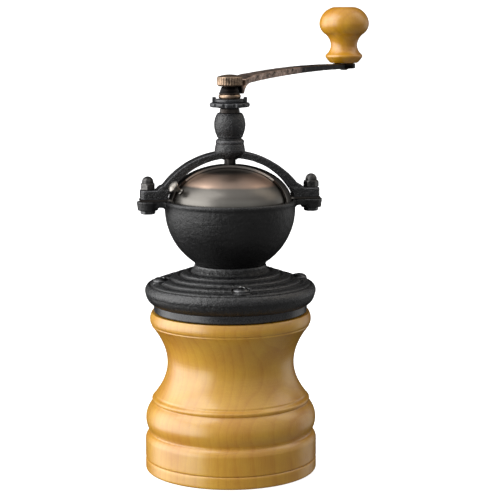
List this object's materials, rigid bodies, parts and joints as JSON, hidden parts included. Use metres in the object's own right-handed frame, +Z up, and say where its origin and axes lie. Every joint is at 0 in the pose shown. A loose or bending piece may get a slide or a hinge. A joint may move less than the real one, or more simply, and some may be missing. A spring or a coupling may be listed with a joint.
{
  "type": "hand crank coffee grinder",
  "caption": "Hand crank coffee grinder: cast iron hopper head with nested half-dome lid and top crank on a turned wooden jar.",
  "frame": {"origin": "on the spindle axis, at the centre of the jar's flat underside", "axes": "+Z up along the spindle; -Y is the front, from which the lid opens; +X is to the right seen from the front"},
  "size_m": [0.1284, 0.1668, 0.2402],
  "materials": {
    "turned_wood": "satin lacquer",
    "knob_wood": "gloss lacquer",
    "cast_iron": "matt black, sand cast",
    "dark_steel": "blue-black, semi gloss",
    "steel": "bright",
    "burr_steel": "machined",
    "bronze": "antique, rubbed",
    "smoked_metal": "smoked mirror"
  },
  "bodies": {
    "jar": {"jar_body": "turned_wood", "base_disc": "turned_wood", "mouth_ring": "steel", "mouth_ring_screws": "bronze"},
    "head": {"hopper_bowl": "cast_iron", "flange_casting": "cast_iron", "screw_ring": "dark_steel", "flange_screws": "dark_steel", "outer_burr": "burr_steel", "burr_bridge": "cast_iron", "bridge_screws": "dark_steel", "lower_bush": "bronze", "rear_dome": "smoked_metal", "yoke": "cast_iron", "yoke_bolts": "dark_steel", "cap_nuts": "steel", "upper_bush": "steel"},
    "lid": {"lid_dome": "smoked_metal", "lid_knob": "steel"},
    "adjuster": {"adjusting_wheel": "dark_steel"},
    "lock": {"lock_plate": "dark_steel"},
    "spindle": {"spindle_shaft": "steel", "inner_burr": "burr_steel", "burr_clip": "steel", "crank_washer": "bronze", "crank_arm": "bronze", "crank_nut": "bronze", "knob_pin": "steel"},
    "knob": {"knob_handle": "knob_wood"}
  },
  "joints": [
    {"name": "head_lift", "type": "slide", "parent": "jar", "child": "head", "axis": [0, 0, 1], "range_m": [0, 0.05]},
    {"name": "lid_turn", "type": "hinge", "parent": "head", "child": "lid", "pos_m": [0, 0, 0.15], "axis": [0, 0, 1], "range_deg": [0, 120]},
    {"name": "crank_turn", "type": "hinge", "parent": "head", "child": "adjuster", "pos_m": [0, 0, 0.19], "axis": [0, 0, 1], "continuous": true},
    {"name": "grind_set", "type": "hinge", "parent": "adjuster", "child": "lock", "pos_m": [0, 0, 0.193], "axis": [0, 0, 1], "range_deg": [0, 360]},
    {"name": "spindle_lift", "type": "slide", "parent": "lock", "child": "spindle", "axis": [0, 0, 1], "range_m": [0, 0.001]},
    {"name": "knob_spin", "type": "hinge", "parent": "spindle", "child": "knob", "pos_m": [0.06583, 0.10743, 0.22], "axis": [0, 0, 1], "continuous": true}
  ],
  "couplings": [
    {"joint": "grind_set", "follows": "spindle_lift", "rad_per_m": 6283}
  ]
}
